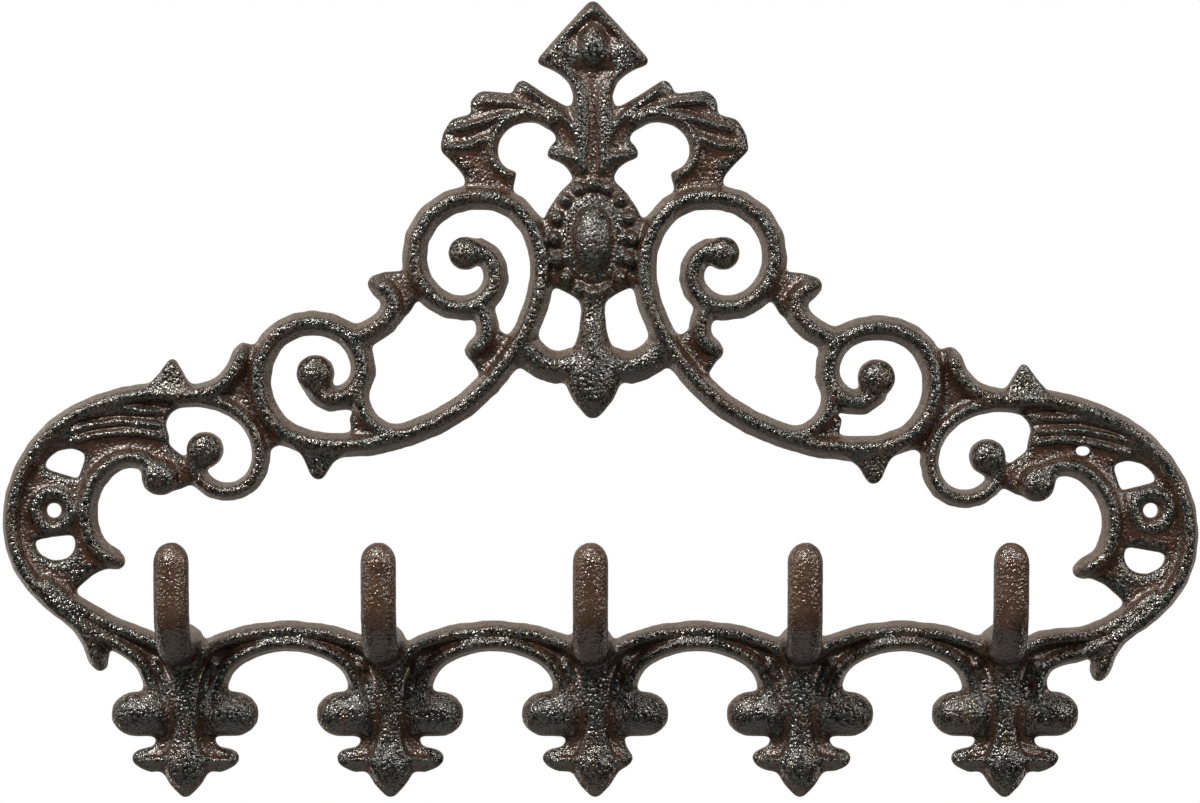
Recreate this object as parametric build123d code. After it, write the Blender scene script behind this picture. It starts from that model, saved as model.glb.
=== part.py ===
"""Cast-iron coat hook rack: one casting of scrollwork with five hooks, screwed flat to a wall.

Millimetres. X runs along the wall, Z is up, and the wall is the plane Y = 0 with the rack on its -Y side.
The origin lies on the wall, half-way between the two screws. The ornament is drawn in the plane of the wall,
as complex numbers: the distance out from the centre line, and the height above the screws times 1j.
Curves are cut into short facets, which keeps the casting light.
"""
from build123d import *
from cmath import phase, rect
from math import ceil, cos, hypot, pi, radians, sin, sqrt, tan
import os

# Layout of the rack
hook_count = 5
hook_pitch = 54.8        # from one hook to the next
screw_spacing = 293.6    # between the two wall screws
right_reach = 5.0        # how much further the right screw is from the centre line than the left one
crest_stretch = 0.8      # how much further the crest reaches on the right
end_stretch = 3.2        # how much more the right end adds to that
ring_sag = 1.2           # how much lower the middle ring came out on the right
end_sag = 2.4            # how much more the right end adds to that
scroll_droop = -0.8 - 0.7j   # shift of the right end's small scroll, to the left and down
row_shift = 0.6          # how far the row of hooks sits to the right of the scrollwork
crest_rise = 136.3       # finial tip above the screws
drop_fall = 76.8         # lowest point of the drops below the screws

# Reliefs, all measured out from the wall
bar_depth = 8.0          # ridge of the scroll bars
floor_depth = 4.6        # sunk grounds between the bars
rib_depth = 6.6          # fine ribs and leaf veins
eye_depth = 9.2          # round eyes at the ends of the curls
panel_depth = 7.4        # panels down the middle of the drops
stud_depth = 8.6         # studs on the drops and the finial
bud_depth = 10.0         # buds beside the drops
medallion_depth = 11.0   # middle of the medallion's dome

# Widths of the drawn lines
ring_width = 7.0         # great scroll
rim_width = 6.2          # rims of the end frames
leaf_width = 7.2         # leaf between the two rings
curl_width = 5.2         # small scrolls, stems and arch ribs
rib_width = 2.8          # veins
loop_width = 9.2         # loops beside the pendant
crown_share = 0.34       # width of a bar's flat crown, as a share of the bar's width

# Hooks
rod_diameter = 9.4
hook_reach = 38.0        # front of the hook, out from the wall
hook_tip = -7.9          # top of the hook's end, from the screws
hook_root = -36.0        # middle of the rod where it leaves the arches
bend_radius = 13.0
root_flare = 1.4         # how far the rod's radius grows at its root
lean = 3.0               # degrees that the hook's end leans out from upright
hook_shift = [-0.9, -1.6, -1.0, 0.3, -0.7]    # how far each hook stands off the middle of its drop

# Buds and beads
bud_radius = 6.0
bud_start = 5.6          # inner end of a bud, out from the middle of its drop
bud_reach = 19.4         # outer end
bud_height = -54.4       # middle of the buds, from the screws
bead_count = 16
bead_radius = 1.9

# Arms of the drops, from left to right: each drop's left and right arm, some of them broken short
arm_reach = [(14.5, 14.5), (14.5, 14.5), (14.2, 10.2), (12.8, 13.8), (14.5, 14.5)]

# Holes
screw_hole = 4.6
countersink = 9.4
pad_radius = 6.4         # raised pad round a screw
pad_depth = 6.4
pin_hole = (5.0, 3.2)    # casting hole among the right end's leaves, across and up

# Facets of curves and of round pieces
facet_sag = 0.34         # how far a facet may stray from its curve
round_sides = 10
bead_sides = 8
oval_sides = 16

# The size that the ornament's points are drawn at
drawn_pitch = 54.8
drawn_crest = 136.3
drawn_drop = 76.8

LEFT, RIGHT = -1, 1
SIDES = (LEFT, RIGHT)
FRONT = Vector(0, -1, 0)
screw_out = {LEFT: (screw_spacing - right_reach) / 2, RIGHT: (screw_spacing + right_reach) / 2}
centre_line = -right_reach / 2
rise = crest_rise / drawn_crest
fall = drop_fall / drawn_drop


def ramp(x, start, end):
    """Share of the way from start to end, from 0 to 1."""
    return min(max((x - start) / (end - start), 0), 1)


def spot(side, x, z):
    """Place on the wall of a point of the drawing, given by its distance out and its height."""
    if side == RIGHT:
        z -= ring_sag * ramp(x, 45, 75) + end_sag * ramp(x, 108, 145)
        x += crest_stretch * ramp(x, 10, 40) + end_stretch * ramp(x, 50, 150)
    return complex(centre_line + side * x * hook_pitch / drawn_pitch, z * (rise if z > 0 else fall))


def drawn(side, *points):
    """Places of several points of the drawing."""
    return [spot(side, x, z) for x, z in points]


def hook_x(hook):
    """Place of a hook along the rack, counted from the left."""
    return centre_line + row_shift + (hook - (hook_count - 1) / 2) * hook_pitch


def below(hook, side, *points):
    """Places of points at a hook, given by their distances out from its middle and their heights."""
    return [complex(hook_x(hook) + side * x, z * fall) for x, z in points]


def on_wall(point):
    """Drawn point as a point of the wall plane."""
    return Vector(point.real, 0, point.imag)


def headings(points):
    """Direction of a smooth curve at each of its points."""
    steps = [b - a for a, b in zip(points, points[1:])]
    inner = [a / abs(a) ** 2 + b / abs(b) ** 2 for a, b in zip(steps, steps[1:])]
    if not inner:
        return [phase(steps[0])] * 2
    first = 2 * phase(steps[0]) - phase(inner[0])
    last = 2 * phase(steps[-1]) - phase(inner[-1])
    return [first] + [phase(aim) for aim in inner] + [last]


def turn_between(aim, other):
    """Angle from one heading to another, within half a turn either way."""
    return (other - aim + pi) % (2 * pi) - pi


def arc_point(a, b, aim, share):
    """Point at a share of the arc that leaves a with the heading aim and ends at b."""
    half_turn = turn_between(aim, phase(b - a))
    length = share if abs(half_turn) < 1e-6 else sin(half_turn * share) / sin(half_turn)
    return a + rect(abs(b - a) * length, aim + half_turn * share)


def curve(points):
    """Facet corners of a smooth curve through points: two tangent arcs from each point to the next."""
    line = [points[0]]
    aims = headings(points)
    for a, b, aim_a, aim_b in zip(points, points[1:], aims, aims[1:]):
        gap, ends = b - a, rect(1, aim_a) + rect(1, aim_b)
        along = (gap * ends.conjugate()).real
        spread = abs(rect(1, aim_a) - rect(1, aim_b)) * abs(gap)
        reach = abs(gap) ** 2 / (along + hypot(along, spread))
        joint = (a + b + (rect(1, aim_a) - rect(1, aim_b)) * reach) / 2
        turn = abs(turn_between(aim_a, phase(gap))) + abs(turn_between(phase(gap), aim_b))
        facets = max(ceil(sqrt(abs(gap) * turn / (8 * facet_sag))), 1)
        for facet in range(1, facets):
            share = 2 * facet / facets
            if share <= 1:
                line.append(arc_point(a, joint, aim_a, share))
            else:
                line.append(arc_point(joint, b, phase(gap - ends * reach), share - 1))
        line.append(b)
    return line


def section(plane, width, depth):
    """Corners of a bar's cross-section: drafted sides up to a narrow flat crown."""
    crown = width * crown_share
    corners = [(-width / 2, 0), (-crown / 2, depth), (crown / 2, depth), (width / 2, 0)]
    return [plane.from_local_coords((x, y, 0)) for x, y in corners]


def stack(*rings):
    """Solid with flat faces between rings of corners. The rings have one shape, in parallel planes."""
    walls = []
    for lower, upper in zip(rings, rings[1:]):
        for corner in range(len(lower)):
            walls.append([lower[corner - 1], lower[corner], upper[corner], upper[corner - 1]])
    return Solid(Shell([Face(Wire.make_polygon(corners)) for corners in walls + [rings[0], rings[-1]]]))


def square_to(point, towards):
    """Plane square to a drawn line at a point, with its height towards the front."""
    aim = on_wall(towards - point).normalized()
    return Plane(origin=on_wall(point), x_dir=FRONT.cross(aim), z_dir=aim)


def tip(plane, width, depth):
    """Blunt point on the end of a bar."""
    return stack(section(plane, width, depth), section(plane.offset(width / 2), width / 2, depth / 2))


def bar(points, width, depth=bar_depth, tips=""):
    """Bar along a curve. tips names the ends that are brought to a point: a is the first and b the last."""
    line = curve(points)
    path = Polyline(*[on_wall(point) for point in line])
    start = make_face(Polyline(*section(square_to(line[0], line[1]), width, depth), close=True))
    solids = [sweep(start, path=path, transition=Transition.RIGHT)]
    if "a" in tips:
        solids.append(tip(square_to(line[0], 2 * line[0] - line[1]), width, depth))
    if "b" in tips:
        solids.append(tip(square_to(line[-1], 2 * line[-1] - line[-2]), width, depth))
    return solids


def outline(*runs):
    """Corners of an outline. Each run is a smooth curve up to the start of the next."""
    starts = [run[0] for run in runs[1:]] + [runs[0][0]]
    return [point for run, start in zip(runs, starts) for point in curve(run + [start])[:-1]]


def plate(corners, depth):
    """Flat-topped solid inside an outline."""
    face = make_face(Polyline(*[on_wall(corner) for corner in corners], close=True))
    return extrude(face, amount=depth, dir=FRONT)


def turned(plane, *steps, sides=round_sides):
    """Round piece with facets. Each step is a radius and a height above a plane."""
    turns = [2 * pi * side / sides for side in range(sides)]
    return stack(*[[plane.from_local_coords((radius * cos(turn), radius * sin(turn), height)) for turn in turns]
                   for radius, height in steps])


def dome(radius, base, height):
    """Steps of a rounded end that starts at a height above a plane."""
    return [(radius, base), (0.78 * radius, base + 0.6 * height), (0.36 * radius, base + height)]


def eye(point, radius, depth):
    """Round boss with a domed top, such as the eye of a curl or a berry."""
    wall = Plane(origin=on_wall(point), x_dir=(1, 0, 0), z_dir=FRONT)
    return turned(wall, (radius, 0), *dome(0.94 * radius, depth - radius / 2, radius / 2))


def great_scroll(side):
    """Bar that curls in at the middle ring, runs up past the medallion and curls in at the crest ring."""
    middle_ring = [(75.0, 36.3), (70.5, 29.7), (63.0, 33.0), (63.2, 44.0), (75.0, 50.2), (86.6, 44.8),
                   (89.6, 33.0), (82.2, 20.4)]
    long_bar = [(68.0, 17.3), (50.0, 20.2), (34.2, 28.1), (22.4, 40.8), (14.9, 55.6)]
    crest_ring = [(13.9, 69.6), (20.7, 81.2), (32.0, 84.0), (44.0, 78.5), (48.0, 67.0), (43.0, 57.0),
                  (34.0, 54.1), (27.0, 58.6), (26.2, 65.0), (30.5, 69.6), (34.0, 69.0)]
    solids = bar(drawn(side, *middle_ring, *long_bar, *crest_ring), ring_width)
    return solids + [eye(spot(side, 74.3, 36.6), 5.2, eye_depth), eye(spot(side, 34.2, 68.8), 4.6, eye_depth)]


def scroll_leaves(side):
    """Leaves, webs and a thorn that tie the rings of the great scroll to each other."""
    calyx = drawn(side, (30.5, 54.5), (28.2, 50.0), (28.4, 46.0), (31.4, 43.2))
    leaf = drawn(side, (64.5, 45.5), (58.5, 48.4), (54.0, 52.5), (53.4, 57.0), (56.8, 60.0))
    branch = drawn(side, (62.0, 36.0), (62.4, 29.5), (59.8, 23.8), (51.0, 20.2))
    calyx_web = outline(drawn(side, (29.0, 51.5), (26.0, 48.5)), drawn(side, (22.6, 46.4)),
                        drawn(side, (21.5, 42.5)), drawn(side, (29.0, 34.5), (30.6, 37.2)),
                        drawn(side, (33.0, 41.0)), drawn(side, (30.0, 46.0)))
    leaf_web = outline(drawn(side, (51.0, 63.9), (56.0, 63.7)), drawn(side, (59.2, 62.4)),
                       drawn(side, (54.0, 57.5)), drawn(side, (53.5, 53.0)), drawn(side, (49.6, 52.2)),
                       drawn(side, (46.5, 57.5)))
    branch_web = outline(drawn(side, (65.4, 25.5)), drawn(side, (63.8, 19.0)), drawn(side, (54.0, 20.5)),
                         drawn(side, (60.5, 26.0)))
    thorn = outline(drawn(side, (81.5, 18.5), (77.4, 14.6)), drawn(side, (75.2, 9.2), (73.4, 8.1)),
                    drawn(side, (71.6, 9.6), (69.8, 12.8)), drawn(side, (66.0, 15.5)))
    solids = bar(calyx, rim_width, tips="b") + bar(leaf, leaf_width, tips="b") + bar(branch, curl_width)
    solids += [plate(web, floor_depth) for web in (calyx_web, leaf_web, branch_web)]
    return solids + [plate(thorn, rib_depth)]


def end_frame(side):
    """Frame at one end: a rim that sweeps from the middle ring round the screw to the outer drop."""
    outer = 0 if side == LEFT else hook_count - 1
    rim = drawn(side, (93.8, 41.8), (95.2, 37.8), (98.8, 33.4), (107.0, 30.8), (119.0, 31.2), (132.2, 28.2),
                (143.8, 21.8), (152.4, 10.4), (155.4, -3.0), (152.6, -15.0), (145.0, -24.0), (136.6, -30.8),
                (132.4, -40.0))
    inner_rim = drawn(side, (117.5, 12.0), (124.5, 14.4), (131.0, 11.0), (135.4, 3.5), (135.2, -5.0),
                      (131.8, -11.2), (128.3, -13.2))
    upper_rib = drawn(side, (147.0, -18.5), (139.2, -24.9), (128.5, -31.0))
    upper_rib += below(outer, side, (10.0, -34.6), (4.0, -37.5))
    lower_rib = drawn(side, (143.5, -26.0), (134.0, -32.0), (126.5, -36.0))
    lower_rib += below(outer, side, (11.2, -40.8), (8.4, -47.2), (7.6, -53.5))
    ground = outline(drawn(side, (112.0, 27.0), (121.0, 29.5), (133.0, 26.5), (144.0, 20.0), (152.0, 9.5),
                           (155.0, -3.0), (152.0, -15.0), (145.0, -24.0)),
                     drawn(side, (139.5, -27.5)), drawn(side, (138.6, -21.2), (133.5, -16.8)),
                     drawn(side, (127.6, -14.5)), drawn(side, (134.8, -8.0), (135.2, 3.0), (130.0, 11.5)),
                     drawn(side, (122.0, 14.0)), drawn(side, (114.0, 16.5), (113.6, 19.5), (114.6, 23.0)))
    rib_ground = outline(drawn(side, (145.0, -22.0)), drawn(side, (145.0, -25.5), (126.5, -36.2)),
                         below(outer, side, (9.0, -42.0)), below(outer, side, (3.0, -44.0)),
                         below(outer, side, (4.0, -37.0)))
    thorn = outline(drawn(side, (107.6, 33.0), (110.3, 37.6)), drawn(side, (112.0, 40.7)),
                    drawn(side, (112.9, 40.5), (115.6, 36.8)), drawn(side, (119.5, 32.5)))
    upper_window = outline(drawn(side, (147.4, 11.2), (143.5, 16.0)), drawn(side, (135.4, 15.2)),
                           drawn(side, (137.6, 8.2)))
    lower_window = outline(drawn(side, (150.0, -8.0), (144.5, -7.0)),
                           drawn(side, (139.0, -6.4), (138.4, -10.2), (145.0, -13.6)))
    floor = plate(ground, floor_depth) - plate(upper_window, floor_depth) - plate(lower_window, floor_depth)
    pad = Plane(origin=screw_place(side), x_dir=(1, 0, 0), z_dir=FRONT)
    solids = [floor, turned(pad, (pad_radius, 0), (0.95 * pad_radius, pad_depth))]
    solids += bar(rim, rim_width, tips="ab") + bar(inner_rim, rim_width, tips="b")
    solids += bar(upper_rib, curl_width, panel_depth) + bar(lower_rib, curl_width)
    return solids + [plate(rib_ground, floor_depth), plate(thorn, rib_depth)]


def end_leaves(side):
    """Leaf veins, small scroll and berry that fill an end frame."""
    veins = [drawn(side, (146.0, 20.5), (136.0, 25.4), (127.0, 27.0), (116.5, 26.4)),
             drawn(side, (145.0, 19.0), (135.0, 22.7), (126.0, 23.9), (116.0, 22.7)),
             drawn(side, (140.5, 18.4), (131.0, 20.4), (122.0, 21.0), (115.4, 19.6))]
    droop = scroll_droop if side == RIGHT else 0
    scroll = drawn(side, (112.0, 29.6), (100.0, 29.0))
    scroll += [point + droop for point in drawn(side, (92.4, 24.2), (88.8, 15.0), (91.6, 7.4), (98.5, 4.8),
                                                (105.0, 8.0), (106.6, 13.6), (104.4, 16.6))]
    berry_web = outline(drawn(side, (123.0, 14.5), (120.0, 9.0)), drawn(side, (117.5, 5.0), (114.0, 5.0)),
                        drawn(side, (107.0, 7.5)), drawn(side, (107.0, 12.0)), drawn(side, (111.0, 15.2)),
                        drawn(side, (114.2, 18.0)))
    web = outline(drawn(side, (88.5, 44.2)), drawn(side, (94.0, 43.6), (97.0, 37.0), (103.0, 33.4)),
                  drawn(side, (111.0, 31.5)), drawn(side, (111.0, 29.2), (98.0, 28.0), (91.0, 21.5)),
                  drawn(side, (88.0, 15.5)), drawn(side, (83.0, 18.5), (89.0, 30.0)))
    solids = [solid for vein in veins for solid in bar(vein, rib_width, rib_depth, tips="b")]
    solids += bar(scroll, curl_width, panel_depth)
    solids += [eye(spot(side, 103.8, 16.2) + droop, 5.0, eye_depth)]
    solids += [eye(spot(side, 115.8, 8.8), 5.0, eye_depth)]
    return solids + [plate(berry_web, floor_depth), plate(web, floor_depth)]


def crest(side):
    """Half of the crest: finial and stem on the centre line, with a fan of leaves beside them."""
    stem = outline(drawn(side, (0.0, 86.0)), drawn(side, (4.9, 88.8), (7.2, 92.2)),
                   drawn(side, (12.0, 94.3), (12.1, 95.7)), drawn(side, (9.6, 98.6)),
                   drawn(side, (9.0, 104.0)),
                   drawn(side, (5.6, 107.8), (5.0, 111.0), (6.4, 114.8), (10.0, 117.8)),
                   drawn(side, (14.6, 119.4)), drawn(side, (14.8, 120.6), (7.6, 128.8)),
                   drawn(side, (0.9, 136.1)), drawn(side, (0.0, 136.3)))
    fan = outline(drawn(side, (4.5, 98.0)),
                  drawn(side, (9.4, 99.5), (12.8, 103.2), (18.0, 104.0), (23.0, 102.0), (25.7, 97.0),
                        (24.4, 92.4)),
                  drawn(side, (20.5, 90.5)), drawn(side, (22.0, 84.5)),
                  drawn(side, (34.2, 83.5), (34.4, 89.6), (37.6, 93.2)),
                  drawn(side, (40.8, 96.4), (40.2, 100.5)), drawn(side, (37.8, 104.6)),
                  drawn(side, (32.0, 106.0), (32.6, 109.6), (30.6, 111.8)), drawn(side, (27.0, 111.9)),
                  drawn(side, (21.3, 111.3), (20.6, 114.0)), drawn(side, (18.9, 115.3)),
                  drawn(side, (12.5, 111.0)), drawn(side, (6.6, 107.6)), drawn(side, (4.5, 108.0)))
    veins = [drawn(side, (4.0, 98.5), (7.6, 104.8), (12.5, 108.6), (17.6, 112.4)),
             drawn(side, (9.5, 104.0), (15.0, 107.0), (22.5, 109.0), (29.4, 109.2)),
             drawn(side, (16.0, 106.0), (24.0, 105.6), (31.0, 103.2), (36.6, 101.8)),
             drawn(side, (11.2, 103.0), (17.5, 105.6), (24.4, 103.2), (27.4, 96.6), (25.6, 91.4), (22.6, 89.4)),
             drawn(side, (28.5, 99.5), (33.0, 97.2), (37.6, 97.2)),
             drawn(side, (2.0, 90.8), (6.0, 94.4), (9.8, 95.2))]
    solids = [plate(stem, floor_depth), plate(fan, floor_depth)]
    solids += [solid for vein in veins for solid in bar(vein, rib_width, rib_depth, tips="b")]
    solids += bar(drawn(side, (12.6, 120.2), (7.0, 127.4), (0.0, 134.2)), rib_width, rib_depth)
    solids += bar(drawn(side, (11.0, 119.4), (7.2, 117.4), (3.8, 112.0), (3.4, 103.0), (2.6, 90.0)), rib_width,
                  rib_depth)
    return solids


def medallion(side):
    """Half of the medallion's ground, and the loop below it that carries the pendant."""
    ground = outline(drawn(side, (0.0, 89.4)), drawn(side, (4.8, 88.8)),
                     drawn(side, (8.8, 85.0), (11.8, 80.5)), drawn(side, (13.0, 77.6)), drawn(side, (14.0, 70.0)),
                     drawn(side, (13.0, 61.5), (10.0, 59.8), (6.2, 58.0)), drawn(side, (3.2, 56.0), (2.8, 50.5)),
                     drawn(side, (4.4, 45.0), (6.8, 40.0)), drawn(side, (7.8, 35.2), (5.2, 29.4)),
                     drawn(side, (1.2, 24.7)), drawn(side, (0.0, 24.6)))
    loop = drawn(side, (20.0, 45.2), (15.4, 40.6), (10.2, 38.2), (4.0, 40.0))
    return [plate(ground, floor_depth)] + bar(loop, loop_width, rib_depth)


def oval(middle, width, height, count=oval_sides):
    """Corners of an oval round a drawn point."""
    turns = [2 * pi * corner / count for corner in range(count)]
    return [middle + complex(width / 2 * sin(turn), height / 2 * cos(turn)) for turn in turns]


def centre_relief():
    """Raised work on the centre line: the finial's boss, the medallion's beads and dome, the pendant's keel."""
    middle, finial = spot(LEFT, 0, 72.6), spot(LEFT, 0, 124.0)
    solids = [plate(oval(middle, 15.8, 22.6), rib_depth) - plate(oval(middle, 13.2, 20.0), rib_depth)]
    for share, depth in ((1.0, 0.7), (0.86, 0.84), (0.64, 0.94), (0.38, 1.0)):
        solids.append(plate(oval(middle, 10.4 * share, 18.0 * share), medallion_depth * depth))
    for share, depth in ((1.0, 0.8), (0.6, 1.0)):
        solids.append(plate(oval(finial, 7.0 * share, 11.0 * share), stud_depth * depth))
    for bead in oval(middle, 20.8, 28.8, bead_count):
        wall = Plane(origin=on_wall(bead), x_dir=(1, 0, 0), z_dir=FRONT)
        solids.append(turned(wall, (bead_radius, 0), (0.6 * bead_radius, panel_depth), sides=bead_sides))
    keel = [spot(LEFT, 0, 46.0), spot(LEFT, 0, 29.0)]
    solids += bar(keel, curl_width, bar_depth, tips="ab")
    neck = drawn(LEFT, (2.3, 57.0), (2.3, 44.0)) + drawn(RIGHT, (2.3, 44.0), (2.3, 57.0))
    return solids + [plate(neck, rib_depth)]


def arch(hook):
    """Arch from a hook to the next one: two ribs on a sunk ground."""
    ribs = [([(7.6, -53.5), (8.3, -47.5), (10.6, -42.0), (17.0, -37.5)], -35.3, curl_width, bar_depth),
            ([(1.5, -40.5), (8.0, -35.9), (16.5, -33.1)], -31.9, curl_width, panel_depth),
            ([(4.0, -45.0), (10.0, -39.0), (17.0, -35.4)], -33.8, ring_width, floor_depth)]
    solids = []
    for rib, peak, width, depth in ribs:
        middle = below(hook, RIGHT, (hook_pitch / 2, peak))
        line = below(hook, RIGHT, *rib) + middle + below(hook + 1, LEFT, *reversed(rib))
        solids += bar(line, width, depth)
    return solids


def drop(hook):
    """Drop below a hook: a panel that ends in a point, with a bud and a short arm on each side."""
    solids = []
    for side, reach in zip(SIDES, arm_reach[hook]):
        ground = outline(below(hook, side, (0.0, -34.0)), below(hook, side, (10.0, -38.5), (11.0, -44.0)),
                         below(hook, side, (11.2, -48.4)), below(hook, side, (8.6, -55.0)),
                         below(hook, side, (7.6, -61.4)), below(hook, side, (8.4, -63.4)),
                         below(hook, side, (reach - 1.6, -64.2), (reach, -65.8), (reach - 2, -68.7)),
                         below(hook, side, (6.2, -69.6), (4.0, -73.4)), below(hook, side, (0.9, -76.6)),
                         below(hook, side, (0.0, -76.8)))
        panel = outline(below(hook, side, (0.0, -36.0)),
                        below(hook, side, (5.5, -38.5), (3.0, -43.5), (2.1, -50.0), (2.0, -56.5), (3.4, -62.5)),
                        below(hook, side, (5.4, -67.4), (3.6, -71.4)), below(hook, side, (0.0, -75.0)))
        stud = below(hook, side, (0.0, -63.6), (2.7, -68.2), (0.0, -72.2))
        solids += [plate(ground, floor_depth), plate(panel, panel_depth), plate(stud, stud_depth)]
        solids += bar(below(hook, side, (4.0, -66.4), (reach - 2.6, -66.8)), rib_width, rib_depth)
        rib = below(hook, side, (8.2, -40.0), (5.3, -46.0), (4.5, -53.0), (6.0, -60.2))
        solids += bar(rib, rib_width, rib_depth)
        solids.append(bud(hook, side))
    return solids


def bud(hook, side):
    """Bud at one side of a drop: it swells out of the ground and ends in a dome."""
    middle = Vector(hook_x(hook) + side * bud_start, bud_radius - bud_depth, bud_height * fall)
    outward = Plane(origin=middle, x_dir=(0, 0, 1), z_dir=(side, 0, 0))
    swell, cap = 0.5 * bud_radius, 0.8 * bud_radius
    shank = bud_reach - bud_start - swell - cap
    return turned(outward, (0.8 * bud_radius, 0), (bud_radius, swell), *dome(bud_radius, swell + shank, cap))


def hook(number):
    """Hook: a round rod that runs out from the arches, bends up and ends in a dome."""
    radius = rod_diameter / 2
    out = hook_reach - radius
    up = (hook_tip - hook_root) * fall - 0.8 * radius
    corner = out - up * tan(radians(lean))
    bend = 90 - lean
    setback = bend_radius * tan(radians(bend / 2))
    line = [0j, complex(corner - setback, 0)]
    facets = ceil(radians(bend) * sqrt(bend_radius / (8 * facet_sag)))
    for facet in range(1, facets + 1):
        turn = radians(bend * facet / facets)
        line.append(complex(corner - setback + bend_radius * sin(turn), bend_radius * (1 - cos(turn))))
    line.append(complex(out, up))
    root = Vector(hook_x(number) + hook_shift[number], 0, hook_root * fall)
    stops = [root + Vector(0, -point.real, point.imag) for point in line]
    start = Plane(origin=root, x_dir=(1, 0, 0), z_dir=FRONT)
    rod = sweep(start * RegularPolygon(radius, round_sides), path=Polyline(*stops), transition=Transition.RIGHT)
    end = Plane(origin=stops[-1], x_dir=(1, 0, 0), z_dir=(stops[-1] - stops[-2]).normalized())
    flare = turned(start, (radius + root_flare, 0), (radius * 0.9, 2 * rod_diameter))
    return [rod, flare, turned(end, *dome(radius, 0, 0.8 * radius))]


def screw_place(side):
    """Middle of a screw hole on the wall; the two holes are level."""
    return Vector(centre_line + side * screw_out[side], 0, 0)


def screw(side):
    """Space of a wall screw: its hole, and the countersink that opens to the pad's face."""
    start = Plane(origin=screw_place(side), z_dir=FRONT)
    sink = (countersink - screw_hole) / 2
    hole = extrude(start * Circle(screw_hole / 2), amount=bar_depth)
    cone = Cone(screw_hole / 2, countersink / 2, sink, align=(Align.CENTER, Align.CENTER, Align.MIN))
    return hole + start.offset(pad_depth - sink) * cone


def join(solids):
    """One body out of solids that run into each other, added one after the other."""
    body = solids[0]
    for solid in solids[1:]:
        body = body.fuse(solid)
        body = Compound(body) if isinstance(body, list) else body
    return body


halves = []
for side in SIDES:
    scrolls = join(great_scroll(side) + scroll_leaves(side))
    end = join(end_frame(side) + end_leaves(side))
    top = join(crest(side) + medallion(side))
    halves.append(join([scrolls, end, top]))
row = [join(drop(number) + hook(number)) for number in range(hook_count)]
row += [join(arch(number)) for number in range(hook_count - 1)]
rack = join(halves + [join(row), join(centre_relief())])

far = 2 * screw_spacing
rack -= Box(far, far, far, align=(Align.CENTER, Align.MIN, Align.CENTER))
rack -= plate(oval(spot(RIGHT, 127.8, 18.4), *pin_hole, round_sides), bar_depth)
for side in SIDES:
    rack -= screw(side)
rack.label = "coat_hook_rack"

os.makedirs("parts", exist_ok=True)
export_step(rack, "parts/coat_hook_rack.step")
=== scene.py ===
"""Looks of the coat hook rack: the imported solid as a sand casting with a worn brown-black finish."""
import math

import bmesh
import bpy
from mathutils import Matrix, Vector


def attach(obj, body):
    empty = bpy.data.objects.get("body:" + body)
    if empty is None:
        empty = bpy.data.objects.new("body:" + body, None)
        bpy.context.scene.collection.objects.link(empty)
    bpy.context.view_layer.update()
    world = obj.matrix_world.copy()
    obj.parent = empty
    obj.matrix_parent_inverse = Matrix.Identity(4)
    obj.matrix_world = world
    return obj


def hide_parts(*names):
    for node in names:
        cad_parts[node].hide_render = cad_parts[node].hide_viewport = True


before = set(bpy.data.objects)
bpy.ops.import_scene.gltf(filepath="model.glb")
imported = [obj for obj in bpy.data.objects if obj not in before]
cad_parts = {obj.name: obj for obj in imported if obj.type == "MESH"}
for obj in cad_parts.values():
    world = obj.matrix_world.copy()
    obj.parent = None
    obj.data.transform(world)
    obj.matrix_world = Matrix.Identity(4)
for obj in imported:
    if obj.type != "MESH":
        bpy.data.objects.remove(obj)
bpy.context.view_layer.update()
scene = bpy.context.scene

# Rack: one iron casting, poured in sand, so no edge of it is sharp and its skin is slightly lumpy.
# Scrolls, leaves, arches, drops and hooks are one body, and two screws hold its flat back to a wall.
# All sizes are in metres.
voxel = 0.00066          # mesh of the casting before its flat parts are thinned
soften_passes = 7        # rounding of its edges
back_band = 0.0012       # the back stays flat, and so does its edge up to this far from the wall
lump_height = 0.00022    # lumps of the cast skin
lump_size = 0.0026       # and how far apart they are
growth = 0.0002          # makes up for what the rounding takes off the outline
fine_reach = 0.018       # the medallion's fine work is rounded less, up to this far from its middle
relief_passes = 26       # how wide the surroundings are that a point is compared with
triangle_limit = 188000  # the flat parts lose their spare faces first
iron = bpy.data.materials.new("waxed_cast_iron")


def finished(piece):
    """Plain mesh of a piece with its modifiers applied."""
    depsgraph = bpy.context.evaluated_depsgraph_get()
    mesh = bpy.data.meshes.new_from_object(piece.evaluated_get(depsgraph))
    piece.modifiers.clear()
    piece.data = mesh
    return mesh


def drop_crumbs(mesh):
    """Take the shells that aren't joined to the largest one out of a mesh."""
    shell = bmesh.new()
    shell.from_mesh(mesh)
    left = set(shell.verts)
    islands = []
    while left:
        reached = [left.pop()]
        for vert in reached:
            joined = [edge.other_vert(vert) for edge in vert.link_edges]
            fresh = [other for other in joined if other in left]
            left.difference_update(fresh)
            reached.extend(fresh)
        islands.append(reached)
    islands.sort(key=len)
    for crumb in islands[:-1]:
        bmesh.ops.delete(shell, geom=crumb, context="VERTS")
    shell.to_mesh(mesh)
    shell.free()


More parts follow.
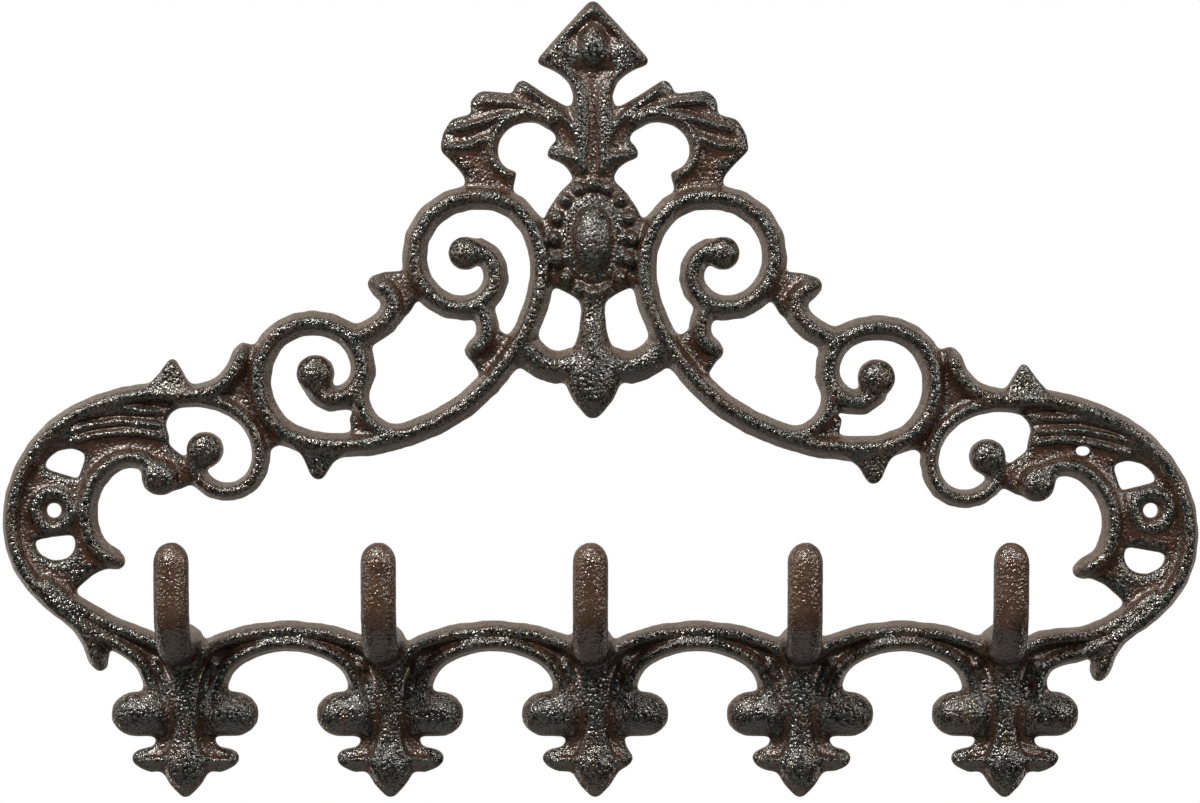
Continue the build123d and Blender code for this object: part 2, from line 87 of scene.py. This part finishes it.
def shape_tree(name, **inputs):
    """Empty tree of shape nodes with named inputs of given kinds, and the function that adds its nodes."""
    tree = bpy.data.node_groups.new(name, "GeometryNodeTree")
    tree.interface.new_socket("Geometry", in_out="INPUT", socket_type="NodeSocketGeometry")
    for label, kind in inputs.items():
        tree.interface.new_socket(label.replace("_", " "), in_out="INPUT", socket_type="NodeSocket" + kind)
    tree.interface.new_socket("Geometry", in_out="OUTPUT", socket_type="NodeSocketGeometry")

    def node(kind, *sources, **settings):
        """New node with its settings, and its inputs in order linked to sockets or set to values."""
        made = tree.nodes.new(kind)
        for setting, value in settings.items():
            setattr(made, setting, value)
        sockets = [socket for socket in made.inputs if socket.enabled]
        for socket, source in zip(sockets, sources):
            if isinstance(source, bpy.types.NodeSocket):
                tree.links.new(source, socket)
            elif source is not None:
                socket.default_value = source
        outputs = [socket for socket in made.outputs if socket.enabled]
        return outputs[0] if outputs else None

    return tree, node


def set_sizes(modifier, sizes):
    """Give the inputs of a modifier's tree their sizes."""
    for socket in modifier.node_group.interface.items_tree:
        if socket.name in sizes:
            modifier[socket.identifier] = sizes[socket.name]


def egg_tree():
    """Tree that puts an egg on each point of a mesh, with the radii that the point carries."""
    tree, node = shape_tree("eggs", Finish="Material")
    given = tree.nodes.new("NodeGroupInput").outputs
    ball = node("GeometryNodeMeshIcoSphere", 1.0, 4)
    radii = node("GeometryNodeInputNamedAttribute", "radii", data_type="FLOAT_VECTOR")
    eggs = node("GeometryNodeInstanceOnPoints", given["Geometry"], True, ball, None, None, None, radii)
    eggs = node("GeometryNodeRealizeInstances", eggs)
    eggs = node("GeometryNodeSetMaterial", eggs, True, given["Finish"])
    node("NodeGroupOutput", eggs)
    return tree


def cast_skin():
    """Tree that rounds a mesh like a sand casting and notes which points stand out of their surroundings."""
    tree, node = shape_tree("cast skin", Soften="Int", Relief_Reach="Int", Back_Band="Float",
                            Lump_Height="Float", Lump_Size="Float", Growth="Float",
                            Fine_Middle="Vector", Fine_Reach="Float")
    given = tree.nodes.new("NodeGroupInput").outputs

    def sum_of(operation, *sources):
        """Sum, product and the like of two values."""
        return node("ShaderNodeMath", *sources, operation=operation)

    def parts_of(vector):
        """X, Y and Z of a vector."""
        split = tree.nodes.new("ShaderNodeSeparateXYZ")
        tree.links.new(vector, split.inputs[0])
        return split.outputs

    place, facing = node("GeometryNodeInputPosition"), node("GeometryNodeInputNormal")
    depth = parts_of(place)["Y"]
    away = sum_of("DIVIDE", sum_of("MULTIPLY", depth, -1.0), given["Back Band"])
    free = node("ShaderNodeClamp", away, 0.0, 1.0)

    gap = node("ShaderNodeVectorMath", place, given["Fine Middle"], operation="DISTANCE")
    soft = node("ShaderNodeMapRange", sum_of("DIVIDE", gap, given["Fine Reach"]), 0.75, 1.0, 0.12, 1.0)
    blurred = node("GeometryNodeBlurAttribute", place, given["Soften"], soft, data_type="FLOAT_VECTOR")
    rounded = parts_of(blurred)
    rounded_depth = node("ShaderNodeMix", free, depth, rounded["Y"])
    rounded = node("ShaderNodeCombineXYZ", rounded["X"], rounded_depth, rounded["Z"])
    skin = node("GeometryNodeSetPosition", given["Geometry"], True, rounded)

    lump = node("ShaderNodeTexNoise", place, sum_of("DIVIDE", 1.0, given["Lump Size"]), 2.0)
    lump = sum_of("MULTIPLY", sum_of("SUBTRACT", lump, 0.5), given["Lump Height"])
    swell = node("ShaderNodeVectorMath", facing, sum_of("MULTIPLY", lump, free), operation="SCALE")
    aim = parts_of(facing)
    outward = node("ShaderNodeCombineXYZ", aim["X"], 0.0, aim["Z"])
    outward = node("ShaderNodeVectorMath", outward, given["Growth"], operation="SCALE")
    swell = node("ShaderNodeVectorMath", swell, outward, operation="ADD")
    skin = node("GeometryNodeSetPosition", skin, True, None, swell)

    broad = node("GeometryNodeBlurAttribute", place, given["Relief Reach"], free, data_type="FLOAT_VECTOR")
    proud = node("ShaderNodeVectorMath", place, broad, operation="SUBTRACT")
    proud_by = node("ShaderNodeVectorMath", proud, facing, operation="DOT_PRODUCT")
    relief = sum_of("MULTIPLY", proud_by, 1000.0)
    skin = node("GeometryNodeStoreNamedAttribute", skin, True, "relief", relief, data_type="FLOAT")
    skin = node("GeometryNodeSetShadeSmooth", skin)
    node("NodeGroupOutput", skin)
    return tree


# Rounded lobes of the relief, each an egg given by its middle and its radii: the medallion's ring of beads
# and its other swells, those of the finial, the stem and the pendant, and one down the middle of each drop.
centre_line = -0.0025
medallion_height = 0.0726
medallion_middle = Vector((centre_line, -0.0056, medallion_height))
bead_count = 16
bead_radius = 0.0016
bead_ring = Vector((0.0104, -0.0012, 0.0146))    # half its width, how far it stands out, half its height
drop_pitch = 0.0548
row_shift = 0.0006       # how far the row of drops sits to the right of the centre line
lobes = []
for bead in range(bead_count):
    turn = math.tau * bead / bead_count
    offset = Vector((bead_ring.x * math.sin(turn), bead_ring.y, bead_ring.z * math.cos(turn)))
    lobes.append((medallion_middle + offset, (bead_radius, bead_radius, bead_radius)))
lobes += [
    (medallion_middle, (0.0054, 0.0054, 0.0092)),                                   # dome of the medallion
    ((centre_line, -0.0034, medallion_height), (0.0130, 0.0032, 0.0166)),           # ground round it
    ((centre_line, -0.0056, 0.1240), (0.0036, 0.0034, 0.0056)),                     # boss of the finial
    ((centre_line, -0.0042, 0.0358), (0.0068, 0.0038, 0.0096)),                     # leaf of the pendant
    ((centre_line, -0.0039, 0.0475), (0.0036, 0.0035, 0.0100)),                     # neck above it
]
for side in (-1, 1):
    lobes += [
        ((centre_line + side * 0.0074, -0.0041, 0.1216), (0.0049, 0.0024, 0.0045)),  # shoulder of the finial
        ((centre_line + side * 0.0031, -0.0042, 0.1040), (0.0020, 0.0026, 0.0130)),  # side of the stem
    ]
for drop in range(-2, 3):
    drop_x = centre_line + row_shift + drop * drop_pitch
    lobes.append(((drop_x, -0.0034, -0.0500), (0.0066, 0.0031, 0.0145)))
points = bpy.data.meshes.new("lobe_points")
points.from_pydata([tuple(middle) for middle, radii in lobes], [], [])
carried = points.attributes.new("radii", "FLOAT_VECTOR", "POINT")
for egg, (middle, radii) in zip(carried.data, lobes):
    egg.vector = radii
relief_work = bpy.data.objects.new("relief_work", points)
scene.collection.objects.link(relief_work)
eggs = relief_work.modifiers.new("eggs", "NODES")
eggs.node_group = egg_tree()
set_sizes(eggs, {"Finish": iron})
eggs_mesh = finished(relief_work)

casting = bpy.data.objects.new("iron_casting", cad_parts["coat_hook_rack"].data.copy())
scene.collection.objects.link(casting)
shell = bmesh.new()
shell.from_mesh(casting.data)
bmesh.ops.remove_doubles(shell, verts=shell.verts, dist=1e-6)
shell.from_mesh(eggs_mesh)
shell.to_mesh(casting.data)
shell.free()
bpy.data.objects.remove(relief_work)

remesh = casting.modifiers.new("even skin", "REMESH")
remesh.mode = "VOXEL"
remesh.voxel_size = voxel
skin = casting.modifiers.new("cast skin", "NODES")
skin.node_group = cast_skin()
set_sizes(skin, {"Soften": soften_passes, "Relief Reach": relief_passes, "Back Band": back_band,
                 "Lump Height": lump_height, "Lump Size": lump_size, "Growth": growth,
                 "Fine Middle": medallion_middle, "Fine Reach": fine_reach})
mesh = finished(casting)
drop_crumbs(mesh)

thin = casting.modifiers.new("fewer faces", "DECIMATE")
thin.ratio = triangle_limit / sum(len(polygon.vertices) - 2 for polygon in mesh.polygons)
mesh = finished(casting)

# Finish of the casting: red-brown wax that lies thick in the hollows, a black-green patina brushed over what
# stands out, with brown wax left on it in patches, and the highest tops painted paler as a painted
# highlight.
# The hooks keep their brown wax, painted darker towards their roots as painted shade under the bend. The
# walls are painted paler towards the back as a painted reflection of the bright room, and the deepest
# creases get painted shade.
iron.use_nodes = True
nodes, links = iron.node_tree.nodes, iron.node_tree.links
shader = nodes["Principled BSDF"]
spot = nodes.new("ShaderNodeTexCoord")


def speckle(scale, detail):
    """Noise over the casting, with features of about 1 / scale metres."""
    node = nodes.new("ShaderNodeTexNoise")
    node.inputs["Scale"].default_value = scale
    node.inputs["Detail"].default_value = detail
    links.new(spot.outputs["Object"], node.inputs["Vector"])
    return node.outputs["Fac"]


def span(source, low, high, start=0.0, end=1.0):
    """Smooth step from start to end as a value goes from low to high."""
    node = nodes.new("ShaderNodeMapRange")
    node.interpolation_type = "SMOOTHSTEP"
    for name, value in (("From Min", low), ("From Max", high), ("To Min", start), ("To Max", end)):
        node.inputs[name].default_value = value
    links.new(source, node.inputs["Value"])
    return node.outputs[0]


def worked(operation, first, second):
    """Sum, product and the like of two values."""
    node = nodes.new("ShaderNodeMath")
    node.operation = operation
    for socket, value in zip(node.inputs, (first, second)):
        if isinstance(value, float):
            socket.default_value = value
        else:
            links.new(value, socket)
    return node.outputs[0]


def mixed(factor, first, second):
    """Mix of two colours."""
    node = nodes.new("ShaderNodeMix")
    node.data_type = "RGBA"
    links.new(factor, node.inputs["Factor"])
    for socket, colour in ((node.inputs[6], first), (node.inputs[7], second)):
        if isinstance(colour, tuple):
            socket.default_value = (*colour, 1)
        else:
            links.new(colour, socket)
    return node.outputs[2]


stand_out = nodes.new("ShaderNodeAttribute")
stand_out.attribute_name = "relief"
relief = stand_out.outputs["Fac"]
place = nodes.new("ShaderNodeSeparateXYZ")
links.new(spot.outputs["Object"], place.inputs[0])
aim = nodes.new("ShaderNodeSeparateXYZ")
links.new(spot.outputs["Normal"], aim.inputs[0])

grain = speckle(1220, 1.0)
mottle = speckle(240, 3)
to_front = span(aim.outputs["Y"], -0.30, -0.80)
high = span(place.outputs["Y"], -0.0050, -0.0064)
painted_highlight_top = span(place.outputs["Y"], -0.0098, -0.0108)
painted_reflection_band = span(place.outputs["Y"], -0.0036, -0.0010)
above_drops = span(place.outputs["Z"], -0.052, -0.046)
on_hook = worked("MULTIPLY", above_drops, span(place.outputs["Z"], 0.020, 0.010))
on_hook = worked("MULTIPLY", on_hook, span(place.outputs["Y"], -0.0085, -0.0110))
painted_shade_root = span(place.outputs["Z"], -0.024, -0.034)

lift = worked("ADD", worked("MULTIPLY", relief, 2.2), worked("MULTIPLY", high, 0.75))
lift = worked("ADD", lift, worked("MULTIPLY", worked("SUBTRACT", mottle, 0.5), 1.2))
raised = span(lift, -0.15, 0.55)
brushed = worked("MULTIPLY", raised, to_front)
pits = span(grain, 0.38, 0.64)

hollow = mixed(mottle, (0.016, 0.006, 0.003), (0.066, 0.027, 0.014))
patina = mixed(pits, (0.0030, 0.0040, 0.0037), (0.030, 0.034, 0.030))
# Painted highlight: the highest tops, such as the medallion's dome, get a paler patina that stands in for
# their glints.
patina = mixed(painted_highlight_top, patina, mixed(pits, (0.012, 0.014, 0.013), (0.085, 0.090, 0.082)))
waxed = span(speckle(110, 2), 0.46, 0.62, 0.0, 0.6)
patina = mixed(waxed, patina, mixed(pits, (0.010, 0.005, 0.003), (0.062, 0.036, 0.023)))
wall = mixed(pits, (0.014, 0.006, 0.0035), (0.085, 0.048, 0.028))
# Painted reflection: the walls are mixed towards tan near the back, standing in for the bright room they
# reflect.
wall = mixed(worked("MULTIPLY", painted_reflection_band, 0.5), wall, (0.130, 0.090, 0.058))
hook_wax_and_shade = mixed(mottle, (0.026, 0.013, 0.008), (0.090, 0.050, 0.031))
# Painted shade: the hooks turn darker towards their roots, where their bends are in shade.
hook_wax_and_shade = mixed(painted_shade_root, hook_wax_and_shade, (0.018, 0.008, 0.005))
colour = mixed(to_front, wall, hollow)
colour = mixed(brushed, colour, patina)
colour = mixed(on_hook, colour, hook_wax_and_shade)
# Painted shade: points that lie well below their surroundings, in creases and beside ridges, are darkened.
colour = mixed(span(relief, -0.15, -0.60), colour, (0.014, 0.007, 0.004))
links.new(colour, shader.inputs["Base Color"])
sunk = worked("MULTIPLY", worked("SUBTRACT", 1.0, raised), to_front)
roughness = worked("ADD", span(mottle, 0.3, 0.7, 0.18, 0.28), worked("MULTIPLY", sunk, 0.08))
links.new(roughness, shader.inputs["Roughness"])
shader.inputs["IOR"].default_value = 1.75
shader.inputs["Specular Tint"].default_value = (1.0, 0.97, 0.92, 1)
bump = nodes.new("ShaderNodeBump")
bump.inputs["Strength"].default_value = 1.0
bump.inputs["Distance"].default_value = 0.0005
links.new(worked("MULTIPLY", grain, span(lift, -0.4, 0.5, 0.72, 1.0)), bump.inputs["Height"])
links.new(bump.outputs[0], shader.inputs["Normal"])

mesh.materials.clear()
mesh.materials.append(iron)
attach(casting, "root")
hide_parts("coat_hook_rack")

# Studio: a grey floor well below the rack, and a room that looks white and lights the rack from behind more
# than from the camera's side, so that drafted walls shine and crowns stay dark. Small lamps all round it
# draw sharp glints on the grain.
half, floor_level = 0.7, -0.8
floor_mesh = bpy.data.meshes.new("floor")
corners = [(-half, -half, floor_level), (half, -half, floor_level), (half, half, floor_level),
           (-half, half, floor_level)]
floor_mesh.from_pydata(corners, [], [(0, 1, 2, 3)])
floor = bpy.data.objects.new("floor", floor_mesh)
scene.collection.objects.link(floor)
paint = bpy.data.materials.new("pale_floor")
paint.use_nodes = True
coat = paint.node_tree.nodes["Principled BSDF"].inputs
coat["Base Color"].default_value = (0.42, 0.42, 0.41, 1)
coat["Roughness"].default_value = 0.8
floor_mesh.materials.append(paint)

room = bpy.data.worlds.new("white_room")
scene.world = room
room.use_nodes = True
sky = room.node_tree
seen = sky.nodes.new("ShaderNodeBackground")
seen.inputs["Color"].default_value = (1, 1, 1, 1)
lit = sky.nodes["Background"]
lit.inputs["Color"].default_value = (1.0, 0.91, 0.80, 1)
heading = sky.nodes.new("ShaderNodeVectorMath")
heading.operation = "DOT_PRODUCT"
heading.inputs[1].default_value = (-0.35, 0.76, 0.54)
sky.links.new(sky.nodes.new("ShaderNodeTexCoord").outputs["Generated"], heading.inputs[0])
glow = sky.nodes.new("ShaderNodeMapRange")
for name, value in (("From Min", 0.0), ("From Max", 1.0), ("To Min", 0.02), ("To Max", 0.72)):
    glow.inputs[name].default_value = value
sky.links.new(heading.outputs["Value"], glow.inputs["Value"])
sky.links.new(glow.outputs[0], lit.inputs["Strength"])
light_path = sky.nodes.new("ShaderNodeLightPath")
choice = sky.nodes.new("ShaderNodeMixShader")
sky.links.new(light_path.outputs["Is Camera Ray"], choice.inputs["Fac"])
sky.links.new(lit.outputs[0], choice.inputs[1])
sky.links.new(seen.outputs[0], choice.inputs[2])
sky.links.new(choice.outputs[0], sky.nodes["World Output"].inputs["Surface"])


rack_middle = Vector((0, 0, 0.02))


def square_lamp(name, place, size, power):
    """Square lamp that faces the middle of the rack."""
    lamp = bpy.data.lights.new(name, "AREA")
    lamp.shape = "SQUARE"
    lamp.size = size
    lamp.energy = power
    lamp.color = (1.0, 0.96, 0.91)
    lamp_object = bpy.data.objects.new(name, lamp)
    lamp_object.location = place
    lamp_object.rotation_euler = (rack_middle - Vector(place)).to_track_quat("-Z", "Y").to_euler()
    scene.collection.objects.link(lamp_object)


square_lamp("key", (-0.48, -0.92, 0.80), 0.26, 20.5)
square_lamp("fill", (0.75, -0.85, 0.45), 0.2, 5.5)
square_lamp("left", (-1.1, -0.35, 0.2), 0.28, 2.5)
square_lamp("right", (1.1, -0.35, 0.3), 0.28, 2.5)
square_lamp("top", (0.1, -0.3, 1.2), 0.3, 3)
for side in (-1, 1):
    square_lamp("back_high", (side * 0.85, 0.75, 0.75), 0.2, 1.0)
    square_lamp("back_low", (side * 0.85, 0.75, -0.45), 0.2, 0.6)

# Camera: square to the wall, a little right of the middle, as the photograph was taken. Its picture is
# shifted, so that the rack fills it as it fills the photograph.
eye_distance = 1.25
picture_width, picture_height = 1200, 803    # pixels of the photograph
pixel = 320 / 1193 / 1000                    # metres at the wall for each pixel
axis_x, axis_z = 0.0075, 0.029               # where the line of sight meets the wall
axis_across, axis_down = 630.3, 401.9        # and its pixel in the photograph
sensor = 36
camera = bpy.data.cameras.new("camera")
camera.sensor_width = sensor
camera.lens = sensor * eye_distance / (picture_width * pixel)
camera.shift_x = (picture_width / 2 - axis_across) / picture_width
camera.shift_y = (axis_down - picture_height / 2) / picture_width
camera.clip_end = 20
camera_object = bpy.data.objects.new("camera", camera)
camera_object.location = (axis_x, -eye_distance, axis_z)
camera_object.rotation_euler = (math.radians(90), 0, 0)
scene.collection.objects.link(camera_object)
scene.camera = camera_object

scene.view_settings.view_transform = "Standard"
